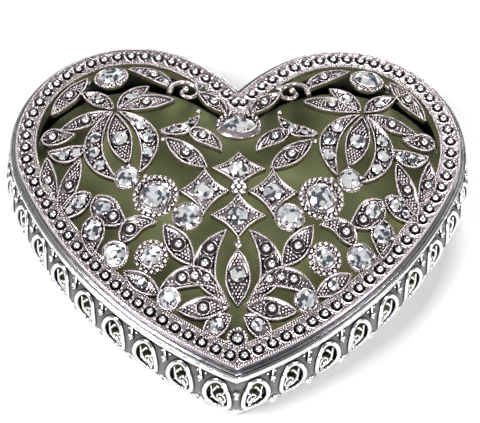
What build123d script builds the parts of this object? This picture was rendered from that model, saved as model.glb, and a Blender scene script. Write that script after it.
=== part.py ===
"""Heart-shaped trinket box: a cast silver-coloured box with an openwork, jewelled lid.

Millimetres, +Z up. The origin is on the surface that the box stands on, in the middle of
its outline. +X runs across the two lobes and +Y points from the tip to the cleft.
"""
import os
from math import asin, atan2, cos, degrees, pi, radians, sin

from build123d import *

os.makedirs("parts", exist_ok=True)

# ---------------------------------------------------------------- driving dimensions
# The heart is drawn on the line that the border beads follow. Each half is three
# tangent arcs: a long side, a round lobe and a short run down into the cleft.
LOBE_X = 24.5
LOBE_Y = 14.76
LOBE_RADIUS = 24.0
SIDE_RADIUS = 90.0
CLEFT_RADIUS = 40.0
SIDE_JOINT = -26.0  # bearing, from the lobe's centre, where side and lobe meet
CLEFT_JOINT = 120.0  # bearing where lobe and cleft run meet

# Heights of the storeys, from the table up
FLOOR_TOP = 1.2
CARD_TOP = 2.0
FOOT_TOP = 2.0
PAD_TOP = 5.4
WALL_TOP = 16.2
RIM_TOP = 18.0
REST_GAP = 0.1  # between the closed lid and the rim
BORDER_TOP = 20.3
BORDER_THICKNESS = 1.2

# Offsets from the bead line, outwards positive
BORDER_HALF = 2.35
LIP_WALL = 0.95
LOCATOR_OUTER = -1.85
LOCATOR_FOOT = 17.0
RIM_INNER = -1.2
RIM_OUTER = 4.0
RIM_GROOVE = 3.2
GROOVE_WIDTH = 0.4
GROOVE_DEPTH = 0.25
RIM_ROUND = 0.5
FLOOR_EDGE = 2.4
FOOT_OUTER = 4.6

# The wall bulges like a quarter round
WALL_BULGE = 5.8
WALL_MIDDLE = 8.0
WALL_ARC = 12.0
WALL_THICKNESS = 1.1
SIDE_WINDOWS, LOBE_WINDOWS, CLEFT_WINDOWS = 8, 9, 2
WINDOW_WIDTH = 5.2
WINDOW_HEIGHT = 8.8
WINDOW_MIDDLE = 9.6
WINDOW_REACH = 3.0  # how far a window's cut runs each way from the wall's bulge
SCROLL_THICKNESS = 0.8
SCROLL_OUTER = 2.5
SCROLL_WIRE = 0.75
SCROLL_END = 0.8
UPPER_BALL = 0.9
UPPER_BALL_Z = 13.0
LOWER_BALL = 1.0
LOWER_BALL_Z = 3.2

# The openwork of the lid
DOME_EDGE = 20.0
DOME_RISE = 6.5
DOME_REACH = 27.0
PLATE = 1.3
CRUMB = 0.1  # cubic mm
SETTING_PROUD = 0.5
BORDER_BEAD = 0.8
BEADS_PER_HALF = 44
TABLE_SHARE = 0.6  # a stone's flat table, as a share of its girdle
CROWN_SHARE = 0.42  # a stone's crown height, as a share of its girdle radius

# The hinges behind the lobes
HINGE_OFFSET = 5.7
HINGE_Z = 14.0
BARREL = 1.1
PIN = 0.55
RUNNING_FIT = 0.05
PRESS_GAP = 0.02
MIDDLE_KNUCKLE = 3.4
OUTER_KNUCKLE = 2.6
KNUCKLE_GAP = 0.15
NOTCH_SIDE = 0.4
NOTCH_RUN = 10.0  # from under the lid's edge out past the wall
PIN_HEAD = 0.2  # the pin's end beyond its outer knuckle
STRAP = 0.7

SEATED = (Align.CENTER, Align.CENTER, Align.MIN)  # stands on its own place


# ---------------------------------------------------------------- the heart's geometry
def toward(bearing):
    """Unit vector at a bearing in degrees."""
    return Vector(cos(radians(bearing)), sin(radians(bearing)), 0)


LOBE_CENTER = Vector(LOBE_X, LOBE_Y, 0)
SIDE_CENTER = LOBE_CENTER - toward(SIDE_JOINT) * (SIDE_RADIUS - LOBE_RADIUS)
CLEFT_CENTER = LOBE_CENTER + toward(CLEFT_JOINT) * (LOBE_RADIUS - CLEFT_RADIUS)


def tip_bearing(offset):
    """Bearing from the side's centre at which its arc reaches the middle plane."""
    return -90 + degrees(asin(-SIDE_CENTER.X / (SIDE_RADIUS + offset)))


def cleft_bearing(offset):
    """Bearing from the cleft run's centre at which it reaches the middle plane."""
    return 90 + degrees(asin(CLEFT_CENTER.X / (CLEFT_RADIUS + offset)))


def half_arcs(offset=0.0):
    """Centre, radius, first and last bearing of the three arcs of the right half."""
    return [
        (SIDE_CENTER, SIDE_RADIUS + offset, tip_bearing(offset), SIDE_JOINT),
        (LOBE_CENTER, LOBE_RADIUS + offset, SIDE_JOINT, CLEFT_JOINT),
        (CLEFT_CENTER, CLEFT_RADIUS + offset, CLEFT_JOINT, cleft_bearing(offset)),
    ]


def heart_face(offset):
    """The heart's face, offset from the bead line."""
    with BuildSketch() as face:
        with BuildLine():
            for center, radius, first, last in half_arcs(offset):
                ThreePointArc(
                    center + toward(first) * radius,
                    center + toward((first + last) / 2) * radius,
                    center + toward(last) * radius,
                )
            mirror(about=Plane.YZ)
        make_face()
    return face.sketch


def sweep_half(section):
    """Carry a section, drawn as (offset, height), round the right half of the heart."""
    overrun = 12
    with BuildPart() as band:
        for center, radius, first, last in half_arcs():
            start = first - overrun if center is SIDE_CENTER else first
            stop = last + overrun if center is CLEFT_CENTER else last
            spoke = toward(start)
            plane = Plane(origin=center, x_dir=spoke, z_dir=(spoke.Y, -spoke.X, 0))
            with BuildSketch(plane):
                with Locations((radius, 0)):
                    add(section)
            revolve(axis=Axis(center, (0, 0, 1)), revolution_arc=stop - start)
        split(bisect_by=Plane.YZ, keep=Keep.TOP)
    return band.part


def inset(x, y):
    """How far a point lies inside the bead line."""
    point = Vector(abs(x), y, 0)
    center, radius, _, last = half_arcs()[2]
    reaches = [(point - center - toward(last) * radius).length]
    for center, radius, first, last in half_arcs():
        spoke = point - center
        if first <= degrees(atan2(spoke.Y, spoke.X)) <= last:
            reaches.append(radius - spoke.length)
    return min(reaches)


def dome(x, y):
    """Height of the openwork's top face over a point."""
    share = min(max((inset(x, y) - BORDER_HALF) / DOME_REACH, 0), 1)
    return DOME_EDGE + DOME_RISE * (1 - (1 - share) ** 2)


def wall_point(height, proud):
    """Offset and height of a point that stands proud of the wall, square to it."""
    tilt = asin((height - WALL_MIDDLE) / WALL_ARC)
    reach = WALL_ARC + proud
    return WALL_BULGE - WALL_ARC + reach * cos(tilt), WALL_MIDDLE + reach * sin(tilt)


def stations(between):
    """Arc centre, radius and bearing of each window, or of each place between two."""
    places = []
    counts = (SIDE_WINDOWS, LOBE_WINDOWS, CLEFT_WINDOWS)
    for (center, radius, first, last), count in zip(half_arcs(WALL_BULGE), counts):
        pitch = (last - first) / count
        shift = 1 if between else 0.5
        places += [(center, radius - WALL_BULGE, first + (i + shift) * pitch) for i in range(count)]
    return places[:-1] if between else places


def both_sides(points):
    """The points of the right half and their mirror images."""
    return points + [(-x, y, z) for x, y, z in points if abs(x) > 0.01]


# ---------------------------------------------------------------- base: floor and pad
with BuildPart() as floor_plate:
    with BuildSketch():
        add(heart_face(FLOOR_EDGE))
    extrude(amount=FLOOR_TOP)

with BuildPart() as pad_card:
    with BuildSketch(Plane.XY.offset(FLOOR_TOP)):
        add(heart_face(FLOOR_EDGE))
    extrude(amount=CARD_TOP - FLOOR_TOP)

PAD_BEVEL = 1.2
with BuildPart() as velvet_pad:
    with BuildSketch(Plane.XY.offset(CARD_TOP)):
        add(heart_face(FLOOR_EDGE))
    extrude(amount=PAD_TOP - PAD_BEVEL - CARD_TOP)
    with BuildSketch(Plane.XY.offset(PAD_TOP - PAD_BEVEL)):
        add(heart_face(FLOOR_EDGE))
    with BuildSketch(Plane.XY.offset(PAD_TOP)):
        add(heart_face(FLOOR_EDGE - PAD_BEVEL))
    loft(ruled=True)

# ---------------------------------------------------------------- base: foot, wall, rim
with BuildSketch() as foot_section:
    with BuildLine():
        Polyline((FOOT_OUTER - 1, FOOT_TOP), (FLOOR_EDGE, FOOT_TOP), (FLOOR_EDGE, 0), (FOOT_OUTER - 1, 0))
        ThreePointArc((FOOT_OUTER - 1, 0), (FOOT_OUTER, FOOT_TOP / 2), (FOOT_OUTER - 1, FOOT_TOP))
    make_face()

foot_half = sweep_half(foot_section.sketch)
with BuildPart() as foot_band:
    add(foot_half)
    mirror(about=Plane.YZ)

with BuildSketch() as wall_section:
    with BuildLine():
        outer = ThreePointArc(
            (wall_point(FOOT_TOP, 0)[0], FOOT_TOP),
            (WALL_BULGE, WALL_MIDDLE),
            (wall_point(WALL_TOP, 0)[0], WALL_TOP),
        )
        inner = ThreePointArc(
            outer @ 0 - (WALL_THICKNESS, 0),
            (WALL_BULGE - WALL_THICKNESS, WALL_MIDDLE),
            outer @ 1 - (WALL_THICKNESS, 0),
        )
        Line(outer @ 0, inner @ 0)
        Line(outer @ 1, inner @ 1)
    make_face()

window_planes = [
    Plane(
        origin=center + toward(bearing) * (radius + WALL_BULGE) + Vector(0, 0, WINDOW_MIDDLE),
        x_dir=toward(bearing + 90),
        z_dir=toward(bearing),
    )
    for center, radius, bearing in stations(between=False)
]

wall_half = sweep_half(wall_section.sketch)
with BuildPart() as wall_right:
    add(wall_half)
    with BuildSketch(*window_planes):
        Ellipse(WINDOW_WIDTH / 2, WINDOW_HEIGHT / 2)
    extrude(amount=WINDOW_REACH, both=True, mode=Mode.SUBTRACT)

# A scroll hangs in each window: a C whose tail curls in to a round end
with BuildPart() as scrolls_right:
    with BuildSketch(*[plane.offset(-WALL_THICKNESS) for plane in window_planes]):
        Circle(SCROLL_OUTER)
        Circle(SCROLL_OUTER - SCROLL_WIRE, mode=Mode.SUBTRACT)
        with Locations((SCROLL_OUTER / 2, -SCROLL_OUTER / 2)):
            Rectangle(SCROLL_OUTER, SCROLL_OUTER / 2, mode=Mode.SUBTRACT)
        with Locations((SCROLL_OUTER / 2, 0)):
            Rectangle(SCROLL_OUTER - SCROLL_WIRE, SCROLL_WIRE)
        Circle(SCROLL_END)
    extrude(amount=SCROLL_THICKNESS)


def ball_row(height, radius, clear_of_hinges):
    """Centres of the balls that stand on the wall between its windows."""
    touch = 0.02
    offset, z = wall_point(height, radius + touch)
    hinge_half = MIDDLE_KNUCKLE / 2 + OUTER_KNUCKLE + 2 * KNUCKLE_GAP + radius
    centers = []
    for center, base, bearing in stations(between=True):
        spot = center + toward(bearing) * (base + offset)
        beside_hinge = spot.Y > LOBE_Y and abs(spot.X - LOBE_X) < hinge_half
        if not (clear_of_hinges and beside_hinge):
            centers.append((spot.X, spot.Y, z))
    return both_sides(centers)


with BuildPart() as upper_balls:
    with Locations(*ball_row(UPPER_BALL_Z, UPPER_BALL, clear_of_hinges=True)):
        Sphere(UPPER_BALL)

with BuildPart() as lower_balls:
    with Locations(*ball_row(LOWER_BALL_Z, LOWER_BALL, clear_of_hinges=False)):
        Sphere(LOWER_BALL)

with BuildSketch() as rim_section:
    with BuildLine():
        Polyline((RIM_OUTER - RIM_ROUND, RIM_TOP), (RIM_INNER, RIM_TOP), (RIM_INNER, WALL_TOP),
                 (RIM_OUTER, WALL_TOP), (RIM_OUTER, RIM_TOP - RIM_ROUND))
        RadiusArc((RIM_OUTER, RIM_TOP - RIM_ROUND), (RIM_OUTER - RIM_ROUND, RIM_TOP), -RIM_ROUND)
    make_face()
    with Locations((RIM_GROOVE, RIM_TOP)):
        Rectangle(GROOVE_WIDTH, 2 * GROOVE_DEPTH, mode=Mode.SUBTRACT)

HINGE_Y = LOBE_Y + LOBE_RADIUS + HINGE_OFFSET
NOTCH_WIDTH = MIDDLE_KNUCKLE + 2 * NOTCH_SIDE
NOTCH_FRONT = LOBE_Y + LOBE_RADIUS + BORDER_HALF - 0.4
rim_half = sweep_half(rim_section.sketch)
with BuildPart() as top_rim:
    add(rim_half)
    mirror(about=Plane.YZ)
    with BuildSketch(Plane.XY.offset(WALL_TOP)):
        for side in (1, -1):
            with Locations((side * LOBE_X, NOTCH_FRONT)):
                Rectangle(NOTCH_WIDTH, NOTCH_RUN, align=(Align.CENTER, Align.MIN))
    extrude(amount=RIM_TOP - WALL_TOP, mode=Mode.SUBTRACT)

# ---------------------------------------------------------------- hinges
# A section plane whose local x runs along +Y and whose local y runs up
HINGE_PLANE = Plane(origin=(LOBE_X, 0, 0), x_dir=(0, 1, 0), z_dir=(1, 0, 0))
RIM_REAR = LOBE_Y + LOBE_RADIUS + RIM_OUTER
OUTER_START = MIDDLE_KNUCKLE / 2 + KNUCKLE_GAP

with BuildPart() as base_leaf_right:
    with BuildSketch(HINGE_PLANE.offset(OUTER_START)):
        with Locations((HINGE_Y, HINGE_Z)):
            Circle(BARREL)
        with BuildLine():
            Polyline((RIM_REAR - 0.95, WALL_TOP), (RIM_REAR - 0.45, WALL_TOP),
                     (HINGE_Y + 0.3, HINGE_Z + 0.9), (HINGE_Y - 0.9, HINGE_Z - 0.4), close=True)
        make_face()
        with Locations((HINGE_Y, HINGE_Z)):
            Circle(PIN + PRESS_GAP, mode=Mode.SUBTRACT)
    extrude(amount=OUTER_KNUCKLE)
    mirror(about=Plane(origin=(LOBE_X, 0, 0), z_dir=(1, 0, 0)))

LIP_REAR = LOBE_Y + LOBE_RADIUS + BORDER_HALF
with BuildPart() as lid_leaf_right:
    with BuildSketch(HINGE_PLANE):
        with Locations((HINGE_Y, HINGE_Z)):
            Circle(BARREL)
        with BuildLine():
            Polyline((LIP_REAR, BORDER_TOP - 0.7), (LIP_REAR, BORDER_TOP - 1.9),
                     (HINGE_Y - 0.9, HINGE_Z + 0.3), (HINGE_Y + 0.5, HINGE_Z + 0.95), close=True)
        make_face()
        with Locations((HINGE_Y, HINGE_Z)):
            Circle(PIN + RUNNING_FIT, mode=Mode.SUBTRACT)
    extrude(amount=MIDDLE_KNUCKLE / 2, both=True)

with BuildPart() as hinge_pin_right:
    with BuildSketch(HINGE_PLANE):
        with Locations((HINGE_Y, HINGE_Z)):
            Circle(PIN)
    extrude(amount=OUTER_START + OUTER_KNUCKLE + PIN_HEAD, both=True)

# ---------------------------------------------------------------- lid: border
with BuildSketch() as border_section:
    with BuildLine():
        Polyline(
            (-BORDER_HALF, BORDER_TOP), (BORDER_HALF, BORDER_TOP), (BORDER_HALF, RIM_TOP + REST_GAP),
            (BORDER_HALF - LIP_WALL, RIM_TOP + REST_GAP),
            (BORDER_HALF - LIP_WALL, BORDER_TOP - BORDER_THICKNESS),
            (-BORDER_HALF, BORDER_TOP - BORDER_THICKNESS), close=True,
        )
    make_face()

border_half = sweep_half(border_section.sketch)
with BuildPart() as lid_border:
    add(border_half)
    mirror(about=Plane.YZ)
    with BuildSketch(HINGE_PLANE, HINGE_PLANE.offset(-2 * LOBE_X)):
        with Locations((LIP_REAR, BORDER_TOP - 1.3)):
            Rectangle(1.2, 1.3)
    extrude(amount=MIDDLE_KNUCKLE / 2, both=True, mode=Mode.SUBTRACT)

with BuildSketch() as locator_section:
    with Locations(((LOCATOR_OUTER - BORDER_HALF) / 2, (LOCATOR_FOOT + BORDER_TOP - BORDER_THICKNESS) / 2)):
        Rectangle(BORDER_HALF + LOCATOR_OUTER, BORDER_TOP - BORDER_THICKNESS - LOCATOR_FOOT)

locator_half = sweep_half(locator_section.sketch)
with BuildPart() as locating_lip:
    add(locator_half)
    mirror(about=Plane.YZ)


def border_bead_places():
    """Evenly spaced places along the right half of the bead line."""
    arcs = half_arcs()
    total = sum(radius * radians(last - first) for _, radius, first, last in arcs)
    places = []
    for index in range(BEADS_PER_HALF):
        travel = (index + 0.5) * total / BEADS_PER_HALF
        for center, radius, first, last in arcs:
            length = radius * radians(last - first)
            if travel <= length:
                spot = center + toward(first + degrees(travel / radius)) * radius
                places.append((spot.X, spot.Y, BORDER_TOP))
                break
            travel -= length
    return places


with BuildPart() as border_beads:
    with Locations(*both_sides(border_bead_places())):
        Sphere(BORDER_BEAD, arc_size1=0, align=SEATED)


# ---------------------------------------------------------------- lid: settings
# Each setting is a round plate, given as x, y, plate radius and stone radius on the right half.
SETTINGS = {
    "lobe_bezel": (30, 31, 3.9, 3.0),
    "pendant_collet": (24.5, 1, 2.8, 2.25),
    "rosette": (18, -4, 5.1, 2.9),
    "inner_collet": (11, -9, 3.3, 2.7),
    "side_collet": (26.5, -16, 3.2, 2.6),
    "small_rosette": (18.5, -17.5, 3.8, 2.1),
    "lower_collet": (14.5, -26.5, 2.7, 2.2),
}
OVAL_Y = 17
OVAL_PLATE = (5.5, 4.4)
OVAL_STONE = (3.6, 2.7)
OVAL_CROWN = 1.2
OVAL_TAPER = 38
TIP_BOSS_Y = -35.0
TIP_BOSS = 2.4
HALO_BEAD = 0.5
HALO_GAP = 0.25

window = heart_face(-BORDER_HALF)
taken = []  # plan faces of the motifs already finished, so that the next ones meet them


def setting_top(x, y):
    """Height of a setting's top face."""
    return dome(x, y) + SETTING_PROUD


def disc_pair(x, y, radius):
    """Plan of a round plate and its mirror image, kept inside the border."""
    with BuildSketch() as plan:
        with Locations((x, y), (-x, y)):
            Circle(radius)
        add(window, mode=Mode.INTERSECT)
    return plan.sketch


def setting_plates(plan, x, y):
    """The solid of a setting over its plan."""
    with BuildPart() as plates:
        with BuildSketch(Plane.XY.offset(dome(x, y) - PLATE)):
            add(plan)
        extrude(amount=PLATE + SETTING_PROUD)
    return plates.part


def stone_crowns(places, radius):
    """Round stones: a crown that narrows from the girdle to a flat table."""
    with BuildPart() as stones:
        with Locations(*places):
            Cone(bottom_radius=radius, top_radius=TABLE_SHARE * radius,
                 height=CROWN_SHARE * radius, align=SEATED)
    return stones.part


def halo(x, y, radius):
    """Centres of the beads that ring a stone."""
    count = round(2 * pi * radius / (2 * HALO_BEAD + HALO_GAP))
    spokes = [toward(360 * i / count) * radius for i in range(count)]
    return [(x + spoke.X, y + spoke.Y, setting_top(x, y)) for spoke in spokes]


pieces = {}  # finished solids of the lid's openwork, by node name

for name, (x, y, plate_radius, stone_radius) in SETTINGS.items():
    plan = disc_pair(x, y, plate_radius)
    pieces[name + "_settings"] = setting_plates(plan, x, y)
    pieces[name + "_stones"] = stone_crowns(both_sides([(x, y, setting_top(x, y))]), stone_radius)
    taken.append(plan)

with BuildSketch() as oval_plan:
    with Locations((0, OVAL_Y)):
        Ellipse(*OVAL_PLATE)
pieces["oval_setting"] = setting_plates(oval_plan.sketch, 0, OVAL_Y)
taken.append(oval_plan.sketch)

with BuildPart() as oval_stone:
    with BuildSketch(Plane.XY.offset(setting_top(0, OVAL_Y))):
        with Locations((0, OVAL_Y)):
            Ellipse(*OVAL_STONE)
    extrude(amount=OVAL_CROWN, taper=OVAL_TAPER)

tip_boss_plan = disc_pair(0, TIP_BOSS_Y, TIP_BOSS)
pieces["tip_boss"] = setting_plates(tip_boss_plan, 0, TIP_BOSS_Y)
taken.append(tip_boss_plan)

rosettes = [SETTINGS["rosette"], SETTINGS["small_rosette"]]
halo_places = [
    place for x, y, plate_radius, _ in rosettes for place in halo(x, y, plate_radius - HALO_BEAD - 0.1)
]
with BuildPart() as rosette_halos:
    with Locations(*both_sides(halo_places)):
        Sphere(HALO_BEAD, arc_size1=0, align=SEATED)

# ---------------------------------------------------------------- lid: centre cluster
# Four concave-sided diamonds round a bead flower: x, y, half width, half height
DIAMONDS = [(0, 3, 6, 5), (7.5, -3, 5.5, 6), (-7.5, -3, 5.5, 6), (0, -9, 6, 5.5)]
DIAMOND_HOLLOW = 0.34
DIAMOND_STONE = 2.1
CLUSTER_Y = -2
CLUSTER_DISC = 2.0
CLUSTER_BEAD = 0.55


def diamond_plan(x, y, half_width, half_height):
    """A four-pointed outline whose sides bow inwards."""
    points = [(1, 0), (0, 1), (-1, 0), (0, -1), (1, 0)]
    with BuildSketch() as plan:
        with BuildLine():
            for (ax, ay), (bx, by) in zip(points, points[1:]):
                start = (x + ax * half_width, y + ay * half_height)
                end = (x + bx * half_width, y + by * half_height)
                deep_x = x + DIAMOND_HOLLOW * (ax + bx) * half_width
                deep_y = y + DIAMOND_HOLLOW * (ay + by) * half_height
                ThreePointArc(start, (deep_x, deep_y), end)
        make_face()
    return plan.sketch


with BuildPart() as centre_diamonds:
    for x, y, half_width, half_height in DIAMONDS:
        with BuildSketch(Plane.XY.offset(dome(x, y) - PLATE)):
            add(diamond_plan(x, y, half_width, half_height))
            add(taken, mode=Mode.SUBTRACT)
        extrude(amount=PLATE)
    with BuildSketch(Plane.XY.offset(dome(0, CLUSTER_Y) - PLATE)):
        with Locations((0, CLUSTER_Y)):
            Circle(CLUSTER_DISC)
    extrude(amount=PLATE)
pieces["centre_diamonds"] = centre_diamonds.part
taken += [diamond_plan(*diamond) for diamond in DIAMONDS]

pieces["diamond_stones"] = stone_crowns([(x, y, dome(x, y)) for x, y, _, _ in DIAMONDS], DIAMOND_STONE)

petal_spokes = [toward(60 * i) * (2.3 * CLUSTER_BEAD) for i in range(6)] + [Vector(0, 0, 0)]
with BuildPart() as cluster_beads:
    with Locations(*[(spoke.X, CLUSTER_Y + spoke.Y, dome(0, CLUSTER_Y)) for spoke in petal_spokes]):
        Sphere(CLUSTER_BEAD, arc_size1=0, align=SEATED)

# ---------------------------------------------------------------- lid: leaves and petals
# A leaf is (start, end, width, bend, stones, beads). Bend is how far its spine bows to the
# left of the way from start to end. Stones and beads are spaced evenly along the spine.
LEAF_STONE = 1.15
PETAL_STONE = 1.6
WELL_BEAD = 0.8

# Leaves grow from a root: (root, bearing, length, width, bend, stones, beads)
ROOT_RING = 0.8
HUB_RADIUS = 1.5
LOBE_ROOT = (28, 18.5)
TREFOIL_ROOT = (31.5, -2)
TIP_ROOT = (0, -29.5)
MOTIFS = {
    "lobe_flowers": [
        (LOBE_ROOT, 40, 11, 4, 0.5, 1, 0),
        (LOBE_ROOT, 130, 11, 4, -0.5, 1, 0),
        (LOBE_ROOT, 160, 14, 4.5, -0.5, 0, 1),
        (LOBE_ROOT, 250, 18, 4.5, -4.5, 3, 0),
        ((18.5, 13), 145, 11.5, 3.5, 2, 2, 0),
        (LOBE_ROOT, 255, 14.5, 5.5, 0.5, 1, 0),
        (LOBE_ROOT, 265, 18, 4.5, 5, 3, 0),
        ((33.5, 10), 0, 9.5, 4, -1.5, 2, 0),
        (LOBE_ROOT, 345, 13, 4, 0, 0, 1),
    ],
    "side_trefoils": [
        (TREFOIL_ROOT, 330, 9.5, 5, 0.5, 2, 0),
        (TREFOIL_ROOT, 225, 10.5, 6, 1, 1, 0),
        ((31.5, -6.5), 270, 9.5, 5.5, 0, 1, 0),
    ],
    "border_sprigs": [
        ((45, 15.5), 195, 8.5, 4.5, 1, 0, 1),
        ((43.5, 19.5), 125, 14, 5, 0, 0, 1),
        ((27, 34), 210, 13.5, 4, -1.5, 0, 1),
        ((43, 9.5), 255, 12, 4, 1, 0, 1),
        ((35, 7.5), 290, 13.5, 4.5, 0, 0, 1),
        ((25, -19.5), 215, 10.5, 4, 0, 1, 0),
    ],
    "shoulder_sprigs": [
        ((16, 27.5), 175, 6.5, 3.5, 1.5, 1, 0),
        ((10.5, 27.5), 215, 9.5, 4.5, -0.5, 0, 1),
        ((12, 14), 215, 10, 4.5, -1, 0, 1),
        ((17, 11.5), 220, 13, 5, 0, 0, 1),
        ((25, -14.5), 150, 8.5, 4.5, -2, 0, 1),
        ((16.5, -10), 235, 12.5, 5, 0, 0, 1),
    ],
    "tip_flower": [
        (TIP_ROOT, 90, 12.5, 5.5, 0, 1, 0),
        ((0, -17.5), 90, 4, 2.5, 0, 0, 1),
        ((1, -29), 85, 16.5, 5, -5, 0, 3),
        ((2, -28), 10, 15, 4.5, 4, 0, 2),
        ((1, -29), 0, 11.5, 4.5, 0, 0, 1),
        ((0.5, -30.5), 325, 8, 4.5, 0.5, 1, 0),
    ],
}

HUBS = {"lobe_flowers": LOBE_ROOT, "side_trefoils": TREFOIL_ROOT, "tip_flower": TIP_ROOT}


def leaf_ends(root, bearing, length, bend):
    """A leaf starts on a small ring round its root, where its own spine leaves it."""
    leaving = bearing + degrees(atan2(4 * bend, length))
    return Vector(*root) + toward(leaving) * ROOT_RING, Vector(*root) + toward(bearing) * length


def spine_point(start, end, bend, share):
    """A point on a leaf's spine, a share of the way along."""
    run = Vector(*end) - Vector(*start)
    left = Vector(-run.Y, run.X).normalized()
    return Vector(*start) + run * share + left * (4 * bend * share * (1 - share))


def leaf_plan(start, end, width, bend):
    """A leaf's outline: two arcs that meet in its points."""
    with BuildSketch() as plan:
        with BuildLine():
            ThreePointArc(start, spine_point(start, end, bend + width / 2, 0.5), end)
            ThreePointArc(end, spine_point(start, end, bend - width / 2, 0.5), start)
        make_face()
    return plan.sketch


def leaf_top(start, end, bend):
    """Height of a leaf's top face."""
    middle = spine_point(start, end, bend, 0.5)
    return dome(middle.X, middle.Y)


def spaced(start, end, bend, count, height):
    """Places spaced evenly along a leaf's spine, clear of the round settings."""
    spots = [spine_point(start, end, bend, (i + 1) / (count + 1)) for i in range(count)]
    return [
        (spot.X, spot.Y, height) for spot in spots
        if all((spot - Vector(x, y)).length > plate_radius + LEAF_STONE + 0.05
               for x, y, plate_radius, _ in SETTINGS.values())
    ]


def without_crumbs(part):
    """The same part without the specks that a cut can leave."""
    return Compound([solid for solid in part.solids() if solid.volume > CRUMB])


leaf_stones, petal_stones, well_beads = [], [], []
for name, rows in MOTIFS.items():
    leaves = [
        (*leaf_ends(root, bearing, length, bend), width, bend, stones, beads)
        for root, bearing, length, width, bend, stones, beads in rows
    ]
    with BuildPart() as motif:
        for start, end, width, bend, stones, beads in leaves:
            top = leaf_top(start, end, bend)
            with BuildSketch(Plane.XY.offset(top - PLATE)):
                add(leaf_plan(start, end, width, bend))
                mirror(about=Plane.YZ)
                add(window, mode=Mode.INTERSECT)
                add(taken, mode=Mode.SUBTRACT)
            extrude(amount=PLATE)
            group = petal_stones if width > 5 else leaf_stones
            group += both_sides(spaced(start, end, bend, stones, top))
            well_beads += both_sides(spaced(start, end, bend, beads, top))
        if name in HUBS:
            # a small boss joins the leaves that share a root, and reaches the highest of them
            x, y = HUBS[name]
            foot = dome(x, y) - PLATE
            joined = [
                leaf_top(start, end, bend) for start, end, _, bend, _, _ in leaves
                if (start - Vector(x, y)).length < HUB_RADIUS
            ]
            with BuildSketch(Plane.XY.offset(foot)):
                with Locations((x, y), (-x, y)):
                    Circle(HUB_RADIUS)
                add(window, mode=Mode.INTERSECT)
                add(taken, mode=Mode.SUBTRACT)
            extrude(amount=max(joined) - PLATE / 2 - foot)
    pieces[name] = motif.part
    for start, end, width, bend, _, _ in leaves:
        with BuildSketch() as plan:
            add(leaf_plan(start, end, width, bend))
            mirror(about=Plane.YZ)
        taken.append(plan.sketch)

with BuildPart() as small_stones:
    add(stone_crowns(leaf_stones, LEAF_STONE))
    # Leaves crowd together at the lobe's root, so a stone on one meets a higher leaf.
    add(pieces["lobe_flowers"], mode=Mode.SUBTRACT)
pieces["leaf_stones"] = without_crumbs(small_stones.part)
pieces["petal_stones"] = stone_crowns(petal_stones, PETAL_STONE)
with BuildPart() as leaf_beads:
    with Locations(*well_beads):
        Sphere(WELL_BEAD, arc_size1=0, align=SEATED)
    # The crescents cross near the tip, so a bead on the lower one meets the higher leaf.
    add(pieces["tip_flower"], mode=Mode.SUBTRACT)
    add(lid_border.part, mode=Mode.SUBTRACT)
pieces["leaf_beads"] = without_crumbs(leaf_beads.part)

# ---------------------------------------------------------------- labels and files
pieces |= {
    "floor_plate": floor_plate.part,
    "pad_card": pad_card.part,
    "velvet_pad": velvet_pad.part,
    "foot_band": foot_band.part,
    "wall_right": wall_right.part,
    "wall_left": mirror(wall_right.part, about=Plane.YZ),
    "scrolls_right": scrolls_right.part,
    "scrolls_left": mirror(scrolls_right.part, about=Plane.YZ),
    "upper_balls": upper_balls.part,
    "lower_balls": lower_balls.part,
    "top_rim": top_rim.part,
    "base_hinge_leaf_right": base_leaf_right.part,
    "base_hinge_leaf_left": mirror(base_leaf_right.part, about=Plane.YZ),
    "lid_hinge_leaf_right": lid_leaf_right.part,
    "lid_hinge_leaf_left": mirror(lid_leaf_right.part, about=Plane.YZ),
    "hinge_pin_right": hinge_pin_right.part,
    "hinge_pin_left": mirror(hinge_pin_right.part, about=Plane.YZ),
    "lid_border": lid_border.part,
    "locating_lip": locating_lip.part,
    "border_beads": border_beads.part,
    "oval_stone": oval_stone.part,
    "rosette_halos": rosette_halos.part,
    "cluster_beads": cluster_beads.part,
}
for name, piece in pieces.items():
    piece.label = name
    export_step(piece, f"parts/{name}.step")
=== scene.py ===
"""Looks of the heart-shaped trinket box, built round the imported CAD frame.

Lengths are in millimetres until a mesh is made, where MM turns them into metres.
"""
import math
import random

import bmesh
import bpy
import numpy as np
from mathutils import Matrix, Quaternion, Vector


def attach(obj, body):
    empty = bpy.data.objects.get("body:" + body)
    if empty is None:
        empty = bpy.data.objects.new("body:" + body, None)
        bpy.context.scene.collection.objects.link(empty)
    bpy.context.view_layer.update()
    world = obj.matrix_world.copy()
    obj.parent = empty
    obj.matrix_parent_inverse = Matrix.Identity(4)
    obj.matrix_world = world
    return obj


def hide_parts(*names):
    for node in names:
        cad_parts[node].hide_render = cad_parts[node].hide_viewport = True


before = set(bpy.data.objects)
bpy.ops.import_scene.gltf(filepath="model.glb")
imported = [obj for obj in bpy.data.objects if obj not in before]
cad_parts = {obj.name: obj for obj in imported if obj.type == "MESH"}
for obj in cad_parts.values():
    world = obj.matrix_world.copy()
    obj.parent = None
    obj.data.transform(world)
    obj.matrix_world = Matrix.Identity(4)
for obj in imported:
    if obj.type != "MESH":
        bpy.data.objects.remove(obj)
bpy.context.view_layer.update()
MM = 0.001
random.seed(7)

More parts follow.
